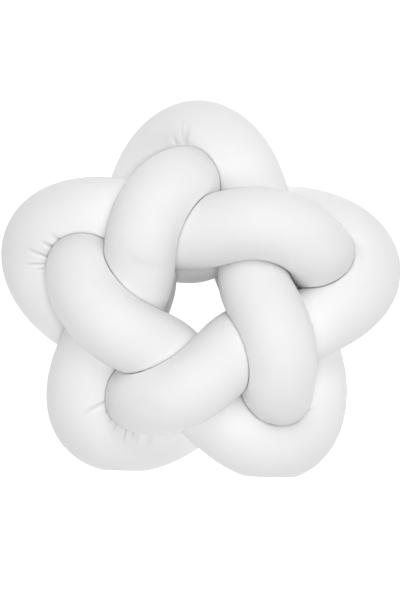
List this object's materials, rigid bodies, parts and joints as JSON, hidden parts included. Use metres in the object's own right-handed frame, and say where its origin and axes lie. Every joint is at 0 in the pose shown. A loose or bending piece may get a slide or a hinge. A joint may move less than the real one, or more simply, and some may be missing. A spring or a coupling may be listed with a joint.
{
  "type": "knot cushion",
  "caption": "Soft cushion of one stuffed knitted tube laid in an interlaced knot with round lobes about an open middle.",
  "frame": {"origin": "middle of the bounding box's underside, on the plane the cushion lies on with its face up", "axes": "+Z out of the cushion's face, +Y towards the lobe at the top of the face, +X to the right across the face"},
  "size_m": [0.48, 0.4526, 0.2553],
  "materials": {
    "white_jersey": "smooth close-knitted jersey, matte"
  },
  "bodies": {
    "root": {"knot_tube": "white_jersey"}
  },
  "joints": []
}
